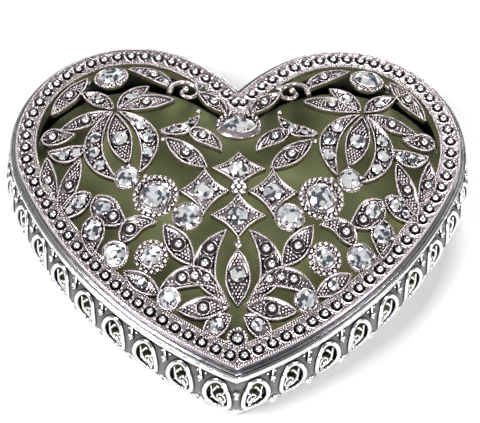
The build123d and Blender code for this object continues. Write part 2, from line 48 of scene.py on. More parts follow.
# ---------------------------------------------------------------- the heart, as in the CAD
LOBE_X, LOBE_Y = 24.5, 14.76
LOBE_RADIUS, SIDE_RADIUS, CLEFT_RADIUS = 24.0, 90.0, 40.0
SIDE_JOINT, CLEFT_JOINT = -26.0, 120.0
RIM_TOP, BORDER_TOP = 18.0, 20.3
BORDER_HALF = 2.35
WALL_BULGE, WALL_MIDDLE, WALL_ARC = 5.8, 8.0, 12.0
WINDOW_COUNTS = (8, 9, 2)
DOME_EDGE, DOME_RISE, DOME_REACH = 20.0, 6.5, 27.0
DOME_BLEND = 2.2


def toward(bearing):
    return np.array([math.cos(math.radians(bearing)), math.sin(math.radians(bearing))])


LOBE_CENTER = np.array([LOBE_X, LOBE_Y])
SIDE_CENTER = LOBE_CENTER - toward(SIDE_JOINT) * (SIDE_RADIUS - LOBE_RADIUS)
CLEFT_CENTER = LOBE_CENTER + toward(CLEFT_JOINT) * (LOBE_RADIUS - CLEFT_RADIUS)


def half_arcs(offset=0.0):
    """Centre, radius, first and last bearing of the right half's three arcs."""
    tip = -90 + math.degrees(math.asin(-SIDE_CENTER[0] / (SIDE_RADIUS + offset)))
    cleft = 90 + math.degrees(math.asin(CLEFT_CENTER[0] / (CLEFT_RADIUS + offset)))
    return [
        (SIDE_CENTER, SIDE_RADIUS + offset, tip, SIDE_JOINT),
        (LOBE_CENTER, LOBE_RADIUS + offset, SIDE_JOINT, CLEFT_JOINT),
        (CLEFT_CENTER, CLEFT_RADIUS + offset, CLEFT_JOINT, cleft),
    ]


def heart_line(offset, samples=(34, 64, 12)):
    """The closed outline at an offset, from the tip up the right side and down the left."""
    half = []
    for (center, radius, first, last), count in zip(half_arcs(offset), samples):
        for i in range(count):
            half.append(center + toward(first + (last - first) * i / count) * radius)
    center, radius, _, last = half_arcs(offset)[2]
    half.append(center + toward(last) * radius)
    right = np.array(half)
    left = right[-2:0:-1] * [-1, 1]
    return np.vstack([right, left])


def evenly(points, count, closed=True, shift=0.0):
    """That many places at equal distances along a line of points."""
    line = np.vstack([points, points[:1]]) if closed else np.asarray(points)
    lengths = np.r_[0, np.cumsum(np.linalg.norm(np.diff(line, axis=0), axis=1))]
    steps = (np.arange(count) + shift) / (count if closed else max(count - 1, 1)) * lengths[-1]
    return np.stack([np.interp(steps, lengths, line[:, k]) for k in range(line.shape[1])], axis=1)


def inset(x, y):
    """Smoothed distance inside the bead line, for arrays of points."""
    x, y = np.broadcast_arrays(np.asarray(x, float), np.asarray(y, float))
    total = np.zeros(x.shape)
    for side in (1, -1):
        px = side * x
        for center, radius, first, last in half_arcs():
            dx, dy = px - center[0], y - center[1]
            bearing = np.degrees(np.arctan2(dy, dx))
            depth = radius - np.hypot(dx, dy)
            inside = (bearing >= first) & (bearing <= last) & (px > -30)
            total += np.where(inside, np.exp(-np.maximum(depth, 0) / DOME_BLEND), 0)
    center, radius, _, last = half_arcs()[2]
    cleft = center + toward(last) * radius
    total += np.exp(-np.hypot(x - cleft[0], y - cleft[1]) / DOME_BLEND) * 0.5
    return -DOME_BLEND * np.log(np.maximum(total, 1e-9))


def dome(x, y):
    """Height of the openwork's ground over a point."""
    share = np.clip((inset(x, y) - BORDER_HALF) / DOME_REACH, 0, 1)
    return DOME_EDGE + DOME_RISE * (1 - (1 - share) ** 2)


def dome_normal(x, y):
    step = 0.4
    slope_x = (dome(x + step, y) - dome(x - step, y)) / (2 * step)
    slope_y = (dome(x, y + step) - dome(x, y - step)) / (2 * step)
    normal = np.array([-float(slope_x), -float(slope_y), 1.0])
    return normal / np.linalg.norm(normal)


# ---------------------------------------------------------------- mesh building blocks
def merge(shapes):
    """Join (vertices, faces) pairs into one."""
    vertices, faces, start = [], [], 0
    for points, polygons in shapes:
        vertices.append(np.asarray(points, float))
        faces += [tuple(i + start for i in polygon) for polygon in polygons]
        start += len(points)
    return np.vstack(vertices), faces


def sphere_template(subdivisions):
    ball = bmesh.new()
    bmesh.ops.create_icosphere(ball, subdivisions=subdivisions, radius=1.0)
    points = np.array([v.co[:] for v in ball.verts])
    faces = [tuple(v.index for v in face.verts) for face in ball.faces]
    ball.free()
    return points, faces


BALL = sphere_template(3)


def balls(centers, radius, template=None):
    """A ball at every centre; radius may be one number or one for each."""
    points, faces = template or BALL
    radii = np.broadcast_to(radius, (len(centers),))
    return merge([(points * r + np.asarray(c), faces) for c, r in zip(centers, radii)])


def loft(rings, closed_along=False, closed_around=True, caps=True):
    """A skin over rings of points that all have the same count."""
    count = len(rings[0])
    vertices = np.vstack(rings)
    faces = []
    spans = len(rings) if closed_along else len(rings) - 1
    for i in range(spans):
        a, b = i * count, ((i + 1) % len(rings)) * count
        for j in range(count if closed_around else count - 1):
            k = (j + 1) % count
            faces.append((a + j, a + k, b + k, b + j))
    if caps and not closed_along:
        faces.append(tuple(range(count))[::-1])
        faces.append(tuple(range((len(rings) - 1) * count, len(rings) * count)))
    return vertices, faces


def heart_band(section, samples=(34, 64, 12)):
    """Carry a closed section of (offset, height) points round the heart."""
    lines = [heart_line(offset, samples) for offset, _ in section]
    rings = []
    for k in range(len(lines[0])):
        rings.append(np.array([[*line[k], z] for line, (_, z) in zip(lines, section)]))
    return loft(rings, closed_along=True)


def tube(path, radius, closed=False, sides=10, flat=1.0):
    """A wire along a path; radius may vary along it, flat squeezes it towards the path's plane."""
    path = np.asarray(path, float)
    radii = np.broadcast_to(radius, (len(path),))
    if closed:
        ahead, behind = np.roll(path, -1, axis=0), np.roll(path, 1, axis=0)
    else:
        ahead, behind = np.vstack([path[1:], path[-1:]]), np.vstack([path[:1], path[:-1]])
    tangents = ahead - behind
    tangents /= np.linalg.norm(tangents, axis=1)[:, None]
    up = np.array([0.0, 0.0, 1.0])
    side = np.cross(tangents[0], up)
    if np.linalg.norm(side) < 0.1:
        side = np.cross(tangents[0], [1.0, 0.0, 0.0])
    side /= np.linalg.norm(side)
    rings = []
    for point, tangent, r in zip(path, tangents, radii):
        side = side - tangent * side.dot(tangent)
        side /= np.linalg.norm(side)
        lift = np.cross(side, tangent)
        turns = 2 * np.pi * np.arange(sides) / sides
        rings.append(point + r * (np.outer(np.cos(turns), side) + flat * np.outer(np.sin(turns), lift)))
    return loft(rings, closed_along=closed)


def placed(template, center, normal, scale, turn=0.0):
    """A template whose +Z goes to the normal, scaled and moved."""
    points, faces = template
    normal = np.asarray(normal, float)
    side = np.cross([0.0, 1.0, 0.0], normal)
    side /= np.linalg.norm(side)
    front = np.cross(normal, side)
    c, s = math.cos(turn), math.sin(turn)
    axes = np.stack([c * side + s * front, -s * side + c * front, normal])
    return (points * scale) @ axes + np.asarray(center), faces


def smooth_path(points, count=40):
    """A curve through the points (Catmull-Rom)."""
    points = np.array(points, float)
    padded = np.vstack([2 * points[0] - points[1], points, 2 * points[-1] - points[-2]])
    path = []
    for t in np.linspace(0, len(points) - 1, count):
        i = min(int(t), len(points) - 2)
        u = t - i
        a, b, c, d = padded[i:i + 4]
        path.append(0.5 * (2 * b + (c - a) * u + (2 * a - 5 * b + 4 * c - d) * u ** 2
                           + (3 * b - a - 3 * c + d) * u ** 3))
    return np.array(path)


def make_piece(name, shapes, material, body, replaces=(), smooth=True):
    """One mesh object from the shapes, riding on its body."""
    points, faces = merge(shapes)
    mesh = bpy.data.meshes.new(name)
    mesh.from_pydata((points * MM).tolist(), [], faces)
    mesh.validate()
    mesh.materials.append(material)
    cleaner = bmesh.new()
    cleaner.from_mesh(mesh)
    bmesh.ops.recalc_face_normals(cleaner, faces=cleaner.faces)
    cleaner.to_mesh(mesh)
    cleaner.free()
    mesh.polygons.foreach_set("use_smooth", [smooth] * len(mesh.polygons))
    piece = bpy.data.objects.new(name, mesh)
    bpy.context.scene.collection.objects.link(piece)
    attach(piece, body)
    if replaces:
        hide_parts(*replaces)
    return piece


# ---------------------------------------------------------------- materials
def new_material(name):
    material = bpy.data.materials.new(name)
    material.use_nodes = True
    nodes, links = material.node_tree.nodes, material.node_tree.links
    return material, nodes, links, nodes["Principled BSDF"]


def recess_silver(name, bright, dark, roughness, reach, dark_until, bright_from, pits, pit_scale):
    """Silver darkened by occlusion: painted shade in its hollows and between its parts, which on the antique
    silver also stands for the real dark patina.
    """
    material, nodes, links, shader = new_material(name)
    shader.inputs["Metallic"].default_value = 1.0
    coordinates = nodes.new("ShaderNodeTexCoord")
    occlusion = nodes.new("ShaderNodeAmbientOcclusion")
    occlusion.samples = 6
    occlusion.inputs["Distance"].default_value = reach * MM
    cloud = nodes.new("ShaderNodeTexNoise")
    cloud.inputs["Scale"].default_value = 420.0
    cloud.inputs["Detail"].default_value = 3.0
    links.new(coordinates.outputs["Object"], cloud.inputs["Vector"])
    sway = nodes.new("ShaderNodeMath")
    sway.operation = "MULTIPLY_ADD"
    sway.inputs[1].default_value = 0.22
    sway.inputs[2].default_value = -0.11
    links.new(cloud.outputs["Fac"], sway.inputs[0])
    total = nodes.new("ShaderNodeMath")
    total.operation = "ADD"
    links.new(occlusion.outputs["AO"], total.inputs[0])
    links.new(sway.outputs[0], total.inputs[1])
    # painted shade: low occlusion turns the base colour towards the dark colour
    ramp = nodes.new("ShaderNodeValToRGB")
    ramp.color_ramp.elements[0].position = dark_until
    ramp.color_ramp.elements[0].color = (*dark, 1)
    ramp.color_ramp.elements[1].position = bright_from
    ramp.color_ramp.elements[1].color = (*bright, 1)
    links.new(total.outputs[0], ramp.inputs["Fac"])
    links.new(ramp.outputs["Color"], shader.inputs["Base Color"])
    wear = nodes.new("ShaderNodeMapRange")
    wear.inputs["From Min"].default_value = 0.3
    wear.inputs["From Max"].default_value = 0.7
    wear.inputs["To Min"].default_value = roughness * 0.75
    wear.inputs["To Max"].default_value = roughness * 1.35
    links.new(cloud.outputs["Fac"], wear.inputs["Value"])
    links.new(wear.outputs[0], shader.inputs["Roughness"])
    if pits:
        cells = nodes.new("ShaderNodeTexVoronoi")
        cells.inputs["Scale"].default_value = pit_scale
        links.new(coordinates.outputs["Object"], cells.inputs["Vector"])
        bump = nodes.new("ShaderNodeBump")
        bump.inputs["Strength"].default_value = pits
        bump.inputs["Distance"].default_value = 0.15 * MM
        links.new(cells.outputs["Distance"], bump.inputs["Height"])
        links.new(bump.outputs["Normal"], shader.inputs["Normal"])
    return material


def crystal_material():
    """Foiled glass: mirror-smooth under a clear coat, its colour broken into dark, grey and white cells that
    are painted glints and reflections.
    """
    material, nodes, links, shader = new_material("foiled_crystal")
    coordinates = nodes.new("ShaderNodeTexCoord")
    # painted glints: Voronoi cells, not lined up with the stone's facets, that the ramp turns dark, grey and
    # white
    facets = nodes.new("ShaderNodeTexVoronoi")
    facets.inputs["Scale"].default_value = 1100.0
    links.new(coordinates.outputs["Object"], facets.inputs["Vector"])
    ramp = nodes.new("ShaderNodeValToRGB")
    ramp.color_ramp.interpolation = "CONSTANT"
    ramp.color_ramp.elements[0].color = (0.12, 0.14, 0.17, 1)
    ramp.color_ramp.elements[1].color = (0.62, 0.66, 0.7, 1)
    ramp.color_ramp.elements[1].position = 0.36
    ramp.color_ramp.elements.new(0.47).color = (1.0, 1.0, 1.0, 1)
    links.new(facets.outputs["Color"], ramp.inputs["Fac"])
    links.new(ramp.outputs["Color"], shader.inputs["Base Color"])
    shader.inputs["Metallic"].default_value = 0.7
    shader.inputs["Roughness"].default_value = 0.05
    shader.inputs["Coat Weight"].default_value = 1.0
    shader.inputs["Coat Roughness"].default_value = 0.02
    return material


def velvet_material():
    """Olive velvet: crushed pile with a pale sheen."""
    material, nodes, links, shader = new_material("olive_velvet")
    coordinates = nodes.new("ShaderNodeTexCoord")
    crush = nodes.new("ShaderNodeTexNoise")
    crush.inputs["Scale"].default_value = 55.0
    crush.inputs["Detail"].default_value = 4.0
    crush.inputs["Distortion"].default_value = 0.8
    links.new(coordinates.outputs["Object"], crush.inputs["Vector"])
    ramp = nodes.new("ShaderNodeValToRGB")
    ramp.color_ramp.elements[0].position = 0.3
    ramp.color_ramp.elements[0].color = (0.14, 0.155, 0.062, 1)
    ramp.color_ramp.elements[1].position = 0.72
    ramp.color_ramp.elements[1].color = (0.33, 0.36, 0.17, 1)
    links.new(crush.outputs["Fac"], ramp.inputs["Fac"])
    links.new(ramp.outputs["Color"], shader.inputs["Base Color"])
    pile = nodes.new("ShaderNodeTexNoise")
    pile.inputs["Scale"].default_value = 2600.0
    links.new(coordinates.outputs["Object"], pile.inputs["Vector"])
    bump = nodes.new("ShaderNodeBump")
    bump.inputs["Strength"].default_value = 0.5
    bump.inputs["Distance"].default_value = 0.2 * MM
    links.new(pile.outputs["Fac"], bump.inputs["Height"])
    links.new(bump.outputs["Normal"], shader.inputs["Normal"])
    shader.inputs["Roughness"].default_value = 0.95
    shader.inputs["Sheen Weight"].default_value = 0.6
    shader.inputs["Sheen Roughness"].default_value = 0.4
    shader.inputs["Sheen Tint"].default_value = (0.75, 0.8, 0.5, 1)
    return material


# Every recess_silver material below takes painted shade in its hollows from the occlusion ramp; on the
# antique silver pieces that dark also stands for their real black patina.
LID_SILVER = recess_silver("antique_silver_cast", (0.66, 0.59, 0.6), (0.012, 0.009, 0.01), 0.22,
                           1.3, 0.42, 0.86, 0.0, 0.0)
LID_BRIGHT = recess_silver("antique_silver_bead", (0.82, 0.80, 0.79), (0.05, 0.045, 0.045), 0.12,
                           0.9, 0.15, 0.6, 0.0, 0.0)
LID_SMOOTH = recess_silver("antique_silver_lip", (0.72, 0.70, 0.70), (0.05, 0.045, 0.05), 0.2,
                           1.0, 0.2, 0.6, 0.0, 0.0)
BASE_SILVER = recess_silver("bright_silver_cast", (0.86, 0.86, 0.85), (0.02, 0.02, 0.02), 0.17,
                            1.6, 0.38, 0.72, 0.0, 0.0)
RIM_SILVER = recess_silver("bright_silver_rim", (0.86, 0.86, 0.85), (0.1, 0.1, 0.1), 0.2,
                           0.7, 0.2, 0.6, 0.0, 0.0)
PATINA = recess_silver("black_patina", (0.025, 0.02, 0.02), (0.006, 0.005, 0.005), 0.5,
                       1.0, 0.2, 0.8, 0.3, 1500.0)
PATINA.node_tree.nodes["Principled BSDF"].inputs["Metallic"].default_value = 0.0
PATINA.node_tree.nodes["Principled BSDF"].inputs["Specular IOR Level"].default_value = 0.12
LIP_SILVER = recess_silver("antique_silver_edge", (0.42, 0.39, 0.44), (0.06, 0.05, 0.06), 0.2,
                           0.8, 0.2, 0.6, 0.0, 0.0)
# The wall's ground: dark grey, and black wherever the rings and scrolls occlude it over a long reach; painted
# shade of the dark inside seen through the openwork, together with the ground's real black patina.
WALL_GROUND_SHADE_AND_PATINA = recess_silver("wall_ground_shade_and_patina", (0.26, 0.26, 0.26), (0.006, 0.006, 0.006), 0.4,
                            3.2, 0.72, 1.02, 0.0, 0.0)
CRYSTAL = crystal_material()
VELVET = velvet_material()

# ---------------------------------------------------------------- stones
def brilliant(sides=8):
    """A faceted round stone of radius 1: table rosette, stars, kites and girdle facets."""
    points, faces = [], []

    def ring(radius, height, count, shift):
        first = len(points)
        for i in range(count):
            turn = 2 * math.pi * (i + shift) / count
            points.append((radius * math.cos(turn), radius * math.sin(turn), height))
        return first

    table = ring(0.56, 0.40, sides, 0.0)
    middle = ring(0.80, 0.25, sides, 0.5)
    girdle = ring(1.0, 0.06, 2 * sides, 0.0)
    foot = ring(1.0, -0.04, 2 * sides, 0.0)
    culet = ring(0.5, -0.3, sides, 0.0)
    inner = ring(0.30, 0.375, sides, 0.5)
    points.append((0, 0, 0.395))
    center = len(points) - 1
    for i in range(sides):
        j = (i + 1) % sides
        a, b = table + i, table + j
        m, before = middle + i, middle + (i - 1) % sides
        g0, g1, g2 = girdle + 2 * i, girdle + 2 * i + 1, girdle + (2 * i + 2) % (2 * sides)
        faces += [(a, b, inner + i), (inner + i, b, inner + j), (inner + i, inner + j, center)]
        faces += [(a, m, b), (a, before, g0), (a, g0, m), (m, g0, g1), (m, g1, g2)]
        faces.append((culet + i, culet + j, foot + (2 * i + 2) % (2 * sides), foot + 2 * i + 1, foot + 2 * i))
    for i in range(2 * sides):
        j = (i + 1) % (2 * sides)
        faces.append((girdle + i, foot + i, foot + j, girdle + j))
    faces.append(tuple(culet + i for i in range(sides))[::-1])
    return np.array(points), faces


STONE = brilliant()
stone_shapes = {"settings": [], "leaf": [], "diamond": []}


def add_stone(group, x, y, height, radius, claws=4, stretch=(1, 1)):
    """A stone with its claws; returns the metal that holds it."""
    normal = dome_normal(x, y)
    turn = random.uniform(0, math.pi)
    points, faces = STONE
    shaped = points * [stretch[0], stretch[1], 1] if stretch != (1, 1) else points
    angle = 0 if stretch != (1, 1) else turn
    center = np.array([x, y, height])
    stone_shapes[group].append(placed((shaped, faces), center, normal, radius, angle))
    metal = []
    for i in range(claws):
        spin = turn + 2 * math.pi * i / claws
        spot = center + np.array([math.cos(spin), math.sin(spin), 0]) * radius * 0.99
        metal.append(placed(CLAW, spot + normal * 0.1 * radius, normal, 0.17 * radius + 0.06))
    return metal


CLAW = (BALL[0] * [1.0, 1.0, 1.5], BALL[1])


def ring_balls(x, y, height, radius, ball, count, template=None, shift=0.0):
    turns = 2 * np.pi * (np.arange(count) + shift) / count
    circle = np.stack([np.cos(turns), np.sin(turns), np.zeros(count)], axis=1)
    points, _ = placed((circle, []), (x, y, height), dome_normal(x, y), radius)
    return balls(points, ball, template or SEED)


SEED = sphere_template(2)


def cup(x, y, height, profile, count=40, stretch=(1.0, 1.0)):
    """A turned metal cup: (radius, height) pairs, square to the dome."""
    normal = dome_normal(x, y)
    rings = []
    for radius, lift in profile:
        turns = 2 * np.pi * np.arange(count) / count
        circle = np.stack([np.cos(turns) * radius * stretch[0],
                           np.sin(turns) * radius * stretch[1], np.full(count, lift)], axis=1)
        rings.append(placed((circle, []), (x, y, height), normal, 1.0)[0])
    return loft(rings)


# ---------------------------------------------------------------- lid: leaves
# A leaf is (start, end, width, bend, widest, stones, beads). Bend is how far its spine bows
# to the left of the way from start to end, and widest is where along it the leaf is widest.
# Stones are (share along the spine, radius) pairs, and beads are shares.
LEAF_THICKNESS = 1.3
WELL_BEAD, WELL_RING = 0.92, 1.48


def spine(start, end, bend, share):
    start, end = np.array(start), np.array(end)
    run = end - start
    left = np.array([-run[1], run[0]]) / np.linalg.norm(run)
    return start + run * share + left * (4 * bend * share * (1 - share))


def leaf_half_width(width, widest, share):
    """Half width along the leaf, pointed at both ends."""
    power = math.log(0.5) / math.log(widest)
    return max(0.5 * width * math.sin(math.pi * share ** power) ** 0.75, 0.02)


def leaf_frame(leaf, share):
    """Place on the spine, unit vector across and half width at a share of a leaf."""
    start, end, width, bend, widest = leaf[:5]
    here = spine(start, end, bend, share)
    ahead = spine(start, end, bend, min(share + 0.01, 1))
    behind = spine(start, end, bend, max(share - 0.01, 0))
    run = ahead - behind
    across = np.array([-run[1], run[0]]) / np.linalg.norm(run)
    return here, across, leaf_half_width(width, widest, share)


# Across a leaf, from its edge inwards: distance from the edge and height above the dome
LEAF_SECTION = [(0.0, -LEAF_THICKNESS), (0.0, 0.05), (0.08, 0.18), (0.38, 0.18), (0.5, -0.25), (0.9, -0.4)]


def leaf_shape(leaf, lift):
    rings = []
    for i in range(31):
        share = 0.5 - 0.5 * math.cos(math.pi * i / 30)
        here, across, half = leaf_frame(leaf, share)
        scale = min(1.0, half / 1.0)
        row = []
        for side in (1, -1):
            section = LEAF_SECTION if side == 1 else LEAF_SECTION[::-1]
            for inward, height in section:
                spot = here + across * side * (half - inward * scale)
                level = height * (scale if height > -1 else 1)
                row.append([*spot, float(dome(*spot)) + level + lift])
        rings.append(np.array(row))
    return loft(rings)


def along_leaf(leaf, step):
    """Shares of a leaf at even distances along its spine."""
    shares = np.linspace(0, 1, 101)
    line = np.array([leaf_frame(leaf, share)[0] for share in shares])
    travel = np.r_[0, np.cumsum(np.linalg.norm(np.diff(line, axis=0), axis=1))]
    count = max(int(travel[-1] / step), 2)
    return np.interp((np.arange(count) + 0.5) / count * travel[-1], travel, shares)


def leaf_edge(leaf, side, inward, step):
    """Evenly spaced places a little inside one edge of a leaf."""
    shares = np.linspace(0, 1, 121)
    line = []
    for share in shares:
        here, across, half = leaf_frame(leaf, share)
        line.append(here + across * side * max(half - inward, 0))
    line = np.array(line)
    length = np.linalg.norm(np.diff(line, axis=0), axis=1).sum()
    return evenly(line, max(int(length / step), 3), closed=False)


def on_dome(spot, lift):
    return [spot[0], spot[1], float(dome(*spot)) + lift]


def clear_of(spot, taken, gap):
    return all(math.hypot(spot[0] - x, spot[1] - y) > radius + gap for x, y, radius in taken)


def well(here, height, size, metal, discs, beads):
    """A bright bead in a black dish with a low collar."""
    outer = size + WELL_RING - WELL_BEAD
    metal.append(cup(*here, height, [(outer + 0.16, -0.5), (outer + 0.14, 0.1), (outer + 0.02, 0.14),
                                     (outer - 0.02, -0.1), (outer - 0.02, -0.5)], count=32))
    discs.append(cup(*here, height, [(outer, -0.6), (outer, -0.02), (size * 0.8, -0.2)], count=32))
    beads.append(placed(BALL, np.array([*here, height + 0.1]), (0, 0, 1), size))


def leaf_parts(leaf, keep_out, lift, metal, milgrain, granules, discs, beads):
    """Adds a leaf with its rim grain, stones, beads and granulated ground."""
    metal.append(leaf_shape(leaf, lift))
    busy = []
    for share, size in leaf[5]:
        here, _, half = leaf_frame(leaf, share)
        metal.extend(add_stone("leaf", *here, float(dome(*here)) + lift + 0.02, size, claws=4))
        busy.append((*here, size + 0.12))
    for share in leaf[6]:
        here, _, half = leaf_frame(leaf, share)
        size = min(WELL_BEAD, half - 0.75)
        well(here, float(dome(*here)) + lift, size, metal, discs, beads)
        busy.append((*here, size + 0.66))
    for side in (1, -1):
        for spot in leaf_edge(leaf, side, 0.22, 0.5):
            if clear_of(spot, keep_out, 0.0) and clear_of(spot, busy, -0.25):
                milgrain.append(on_dome(spot, lift + 0.16))
    for row, share in enumerate(along_leaf(leaf, 0.66)):
        here, across, half = leaf_frame(leaf, share)
        room = half - 0.78
        if room < 0:
            continue
        lanes = int(room / 0.36)
        for lane in range(-lanes, lanes + 1):
            if (lane + row) % 2:
                continue
            spot = here + across * lane * 0.36
            if clear_of(spot, busy, 0.22) and clear_of(spot, keep_out, 0.2):
                granules.append(on_dome(spot, lift - 0.24 + random.uniform(-0.06, 0.06)))


# ---------------------------------------------------------------- lid: where things sit
SETTINGS = {
    "lobe_bezel": (30, 31, 3.9, 3.0),
    "pendant_collet": (24.5, 1, 2.8, 2.25),
    "rosette": (18, -4, 5.1, 2.9),
    "inner_collet": (11, -9, 3.3, 2.7),
    "side_collet": (26.5, -16, 3.2, 2.6),
    "small_rosette": (18.5, -17.5, 3.8, 2.1),
    "lower_collet": (14.5, -26.5, 2.7, 2.2),
}
OVAL = (0.0, 17.0)
TIP_BOSS = (0.0, -35.0)
DIAMONDS = [(0, 3, 6, 5), (7.5, -3, 5.5, 6), (-7.5, -3, 5.5, 6), (0, -9, 6, 5.5)]
CLUSTER = (0.0, -2.0)

ROOT_RING = 0.8
LOBE_ROOT, TREFOIL_ROOT, TIP_ROOT = (28, 18.5), (31.5, -2), (0, -29.5)


def leaf_from(root, bearing, length, width, bend, widest, stones, beads):
    """A leaf that grows from a root; stones are (share, radius), beads are shares."""
    leaving = bearing + math.degrees(math.atan2(4 * bend, length))
    start = np.array(root) + toward(leaving)[:2] * ROOT_RING
    end = np.array(root) + toward(bearing)[:2] * length
    return (tuple(start), tuple(end), width, bend, widest, stones, beads)


MOTIFS = {
    "lobe_flowers": [
        leaf_from(LOBE_ROOT, 40, 11, 4, 0.5, 0.5, [(0.5, 1.2)], []),
        leaf_from(LOBE_ROOT, 130, 11, 4, -0.5, 0.5, [(0.5, 1.3)], []),
        leaf_from(LOBE_ROOT, 160, 14, 4.5, -0.5, 0.5, [], [0.5]),
        leaf_from(LOBE_ROOT, 250, 18, 4.5, -4.5, 0.5, [(0.3, 1.25), (0.52, 1.4), (0.74, 1.35)], []),
        leaf_from((18.5, 13), 145, 11.5, 3.5, 2, 0.4, [(0.25, 1.15), (0.5, 1.1), (0.72, 0.9)], []),
        leaf_from(LOBE_ROOT, 255, 14.5, 5.5, 0.5, 0.5, [(0.5, 1.75)], []),
        leaf_from(LOBE_ROOT, 265, 18, 4.5, 5, 0.5, [(0.33, 1.35), (0.54, 1.35), (0.74, 1.3)], []),
        leaf_from((33.5, 10), 0, 9.5, 4, -1.5, 0.45, [(0.25, 1.2), (0.56, 1.25)], []),
        leaf_from(LOBE_ROOT, 345, 13, 4, 0, 0.5, [], [0.5]),
    ],
    "side_trefoils": [
        leaf_from(TREFOIL_ROOT, 330, 9.5, 5, 0.5, 0.4, [(0.32, 1.45), (0.62, 1.0)], []),
        leaf_from(TREFOIL_ROOT, 225, 10.5, 6, 1, 0.4, [(0.32, 1.75)], [0.66]),
        leaf_from((31.5, -6.5), 270, 9.5, 5.5, 0, 0.35, [(0.34, 2.15)], []),
    ],
    "border_sprigs": [
        leaf_from((45, 15.5), 195, 8.5, 4.5, 1, 0.3, [], [0.32]),
        leaf_from((43.5, 19.5), 125, 14, 5, 0, 0.5, [], [0.5]),
        leaf_from((27, 34), 210, 13.5, 4, -1.5, 0.5, [(0.22, 0.8), (0.8, 0.9)], [0.5]),
        leaf_from((43, 9.5), 255, 12, 4, 1, 0.5, [], [0.5]),
        leaf_from((35, 7.5), 290, 13.5, 4.5, 0, 0.5, [], [0.5]),
        leaf_from((25, -19.5), 215, 10.5, 4, 0, 0.5, [(0.5, 1.2)], []),
    ],
    "shoulder_sprigs": [
        leaf_from((10.5, 27.5), 215, 9.5, 4.5, -0.5, 0.5, [], [0.5]),
        leaf_from((12, 14), 215, 10, 4.5, -1, 0.35, [], [0.34]),
        leaf_from((17, 11.5), 220, 13, 5, 0, 0.5, [], [0.5]),
        leaf_from((25, -14.5), 150, 8.5, 4.5, -2, 0.35, [], [0.32]),
        leaf_from((16.5, -10), 235, 12.5, 5, 0, 0.5, [], [0.5]),
    ],
    "tip_flower": [
        leaf_from(TIP_ROOT, 90, 12.5, 5.5, 0, 0.5, [(0.54, 1.6)], []),
        leaf_from((1, -29), 85, 16.5, 5, -5, 0.55, [], [0.36, 0.56, 0.76]),
        leaf_from((2, -28), 10, 15, 4.5, 4, 0.6, [], [0.5, 0.68]),
        leaf_from((1, -29), 0, 11.5, 4.5, 0, 0.5, [], [0.5]),
        leaf_from((0.5, -30.5), 325, 8, 4.5, 0.5, 0.5, [(0.46, 1.35)], []),
    ],
}


def mirrored_leaf(leaf):
    (x0, y0), (x1, y1), width, bend = leaf[:4]
    return ((-x0, y0), (-x1, y1), width, -bend, *leaf[4:])


def with_mirror(leaf):
    on_middle = abs(leaf[0][0]) < 0.01 and abs(leaf[1][0]) < 0.01
    return [leaf] if on_middle else [leaf, mirrored_leaf(leaf)]


settings_plan = [(side * x, y, plate) for x, y, plate, _ in SETTINGS.values() for side in (1, -1)]
settings_plan.append((*OVAL, 4.6))
settings_plan.append((*TIP_BOSS, 2.4))
diamond_plan = [(x, y, 2.9) for x, y, _, _ in DIAMONDS]

well_discs, well_beads = [], []
keep_out = settings_plan + diamond_plan
for layer, (name, leaves) in enumerate(MOTIFS.items()):
    metal, milgrain, granules = [], [], []
    for index, base_leaf in enumerate(leaves):
        for leaf in with_mirror(base_leaf):
            lift = 0.07 * ((index + layer) % 4)
            leaf_parts(leaf, keep_out, lift, metal, milgrain, granules, well_discs, well_beads)
    metal.append(balls(milgrain, 0.23, SEED))
    metal.append(balls(granules, 0.32, SEED))
    make_piece(name + "_cast", metal, LID_SILVER, "lid", [name])

# the curl beside each cleft: a grained wire that rolls in to a bead, and small linking beads
CURL = [(16.2, 25.6), (15.6, 28.6), (12.9, 30.4), (10.2, 29.2), (9.8, 26.6), (11.8, 25.0), (13.4, 26.0),
        (12.7, 27.4)]
LINKS = [(24.2, 3.6, 0.55), (20.4, 0.8, 0.5), (9.3, 20.6, 0.6),
         (17.0, 10.4, 0.5), (5.0, -2.6, 0.6), (2.2, 20.9, 0.6), (1.4, 19.6, 0.5)]
metal = []
for side in (1, -1):
    line = smooth_path(CURL, 60)
    line[:, 0] *= side
    metal.append(tube([on_dome(spot, -0.1) for spot in line], np.linspace(0.62, 0.42, 60), sides=10))
    metal.append(balls([on_dome(spot, 0.42) for spot in evenly(line, 34, closed=False)], 0.24, SEED))
    metal.extend(add_stone("leaf", side * 9.6, 29.6, float(dome(9.6, 29.6)) + 0.3, 1.0))
    link_spots = [on_dome((side * x, y), 0.1) for x, y, _ in LINKS]
    metal.append(balls(link_spots, [size for _, _, size in LINKS], BALL))
    well_beads.append(placed(BALL, on_dome((side * 12.4, 27.6), 0.1), (0, 0, 1), 0.75))
metal.append(balls([on_dome((0, -16.0), 0.1)], 0.95))
metal.append(balls([on_dome((0, y), 0.0) for y in (-14.6, -15.1)], 0.35, SEED))
make_piece("curls_and_links", metal, LID_SILVER, "lid", [])
make_piece("leaf_wells", well_discs, PATINA, "lid", [])
make_piece("leaf_well_beads", well_beads, LID_BRIGHT, "lid", ["leaf_beads"])

# ---------------------------------------------------------------- lid: settings
SETTING_PROUD = 0.15


def collet(x, y, plate, stone):
    """A plain tube setting: turned cup, polished lip, milgrain foot and four claws."""
    top = float(dome(x, y)) + SETTING_PROUD
    parts = [cup(x, y, top, [(plate * 0.8, -1.8), (plate, -0.7), (plate, -0.2), (stone + 0.34, 0.05),
                             (stone + 0.2, 0.28), (stone - 0.02, 0.24), (stone - 0.05, -0.1)])]
    count = int(2 * math.pi * (plate - 0.15) / 0.6)
    parts.append(ring_balls(x, y, top - 0.3, plate - 0.1, 0.26, count))
    parts.extend(add_stone("settings", x, y, top + 0.15, stone, claws=4))
    return parts


